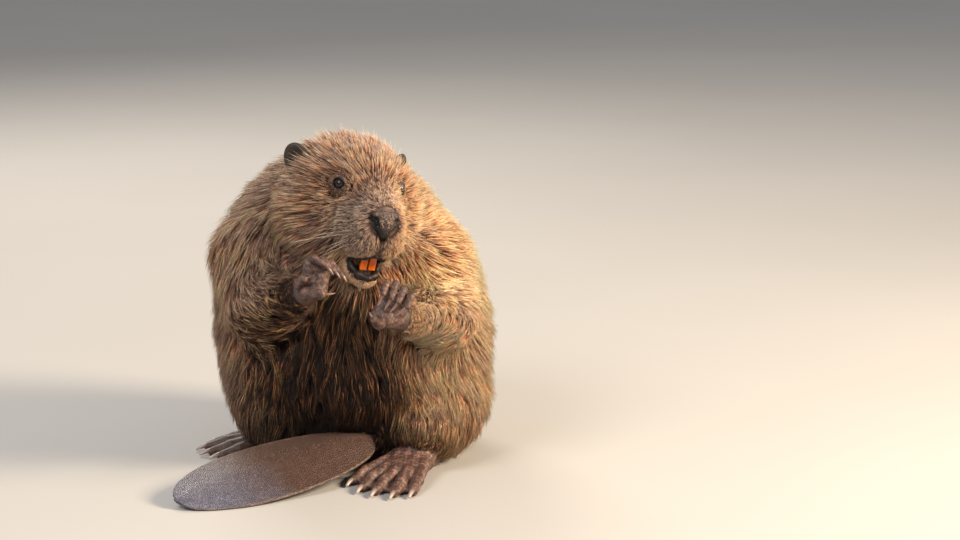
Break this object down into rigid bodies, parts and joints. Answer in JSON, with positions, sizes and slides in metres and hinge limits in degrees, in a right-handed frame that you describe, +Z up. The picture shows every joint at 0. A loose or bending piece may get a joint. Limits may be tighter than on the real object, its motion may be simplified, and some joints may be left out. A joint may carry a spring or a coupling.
{
  "type": "beaver",
  "caption": "Life-size beaver sitting up on its haunches, forepaws raised to its open mouth and its flat scaly tail tucked forward between webbed hind feet.",
  "frame": {"origin": "middle of the flat under the rump, on the floor", "axes": "+Z up, the animal faces -Y, +X towards its left side"},
  "size_m": [0.3678, 0.4208, 0.4074],
  "materials": {
    "fur": "coarse brown guard hair over a dark undercoat",
    "dark_skin": "bare wrinkled skin, half matte",
    "tail_skin": "small scales with a cool sheen",
    "horn": "smooth horn",
    "eye": "wet gloss",
    "enamel": "orange tooth enamel"
  },
  "bodies": {
    "root": {"eye_left": "eye", "eye_right": "eye", "incisor_left": "enamel", "incisor_right": "enamel", "ear_left": "dark_skin", "ear_right": "dark_skin", "claw_forepaw_left_1": "horn", "claw_forepaw_left_2": "horn", "claw_forepaw_left_3": "horn", "claw_forepaw_left_4": "horn", "claw_forepaw_left_5": "horn", "forepaw_left": "dark_skin", "claw_forepaw_right_1": "horn", "claw_forepaw_right_2": "horn", "claw_forepaw_right_3": "horn", "claw_forepaw_right_4": "horn", "claw_forepaw_right_5": "horn", "forepaw_right": "dark_skin", "claw_hind_foot_left_1": "horn", "claw_hind_foot_left_2": "horn", "claw_hind_foot_left_3": "horn", "claw_hind_foot_left_4": "horn", "claw_hind_foot_left_5": "horn", "hind_foot_left": "dark_skin", "claw_hind_foot_right_1": "horn", "claw_hind_foot_right_2": "horn", "claw_hind_foot_right_3": "horn", "claw_hind_foot_right_4": "horn", "claw_hind_foot_right_5": "horn", "hind_foot_right": "dark_skin", "tail_blade": "tail_skin", "foreleg_left": "fur", "thigh_left": "fur", "foreleg_right": "fur", "thigh_right": "fur", "nose": "dark_skin", "lower_jaw": "fur", "head": "fur", "neck": "fur", "tail_root": "fur", "trunk": "fur"}
  },
  "joints": []
}
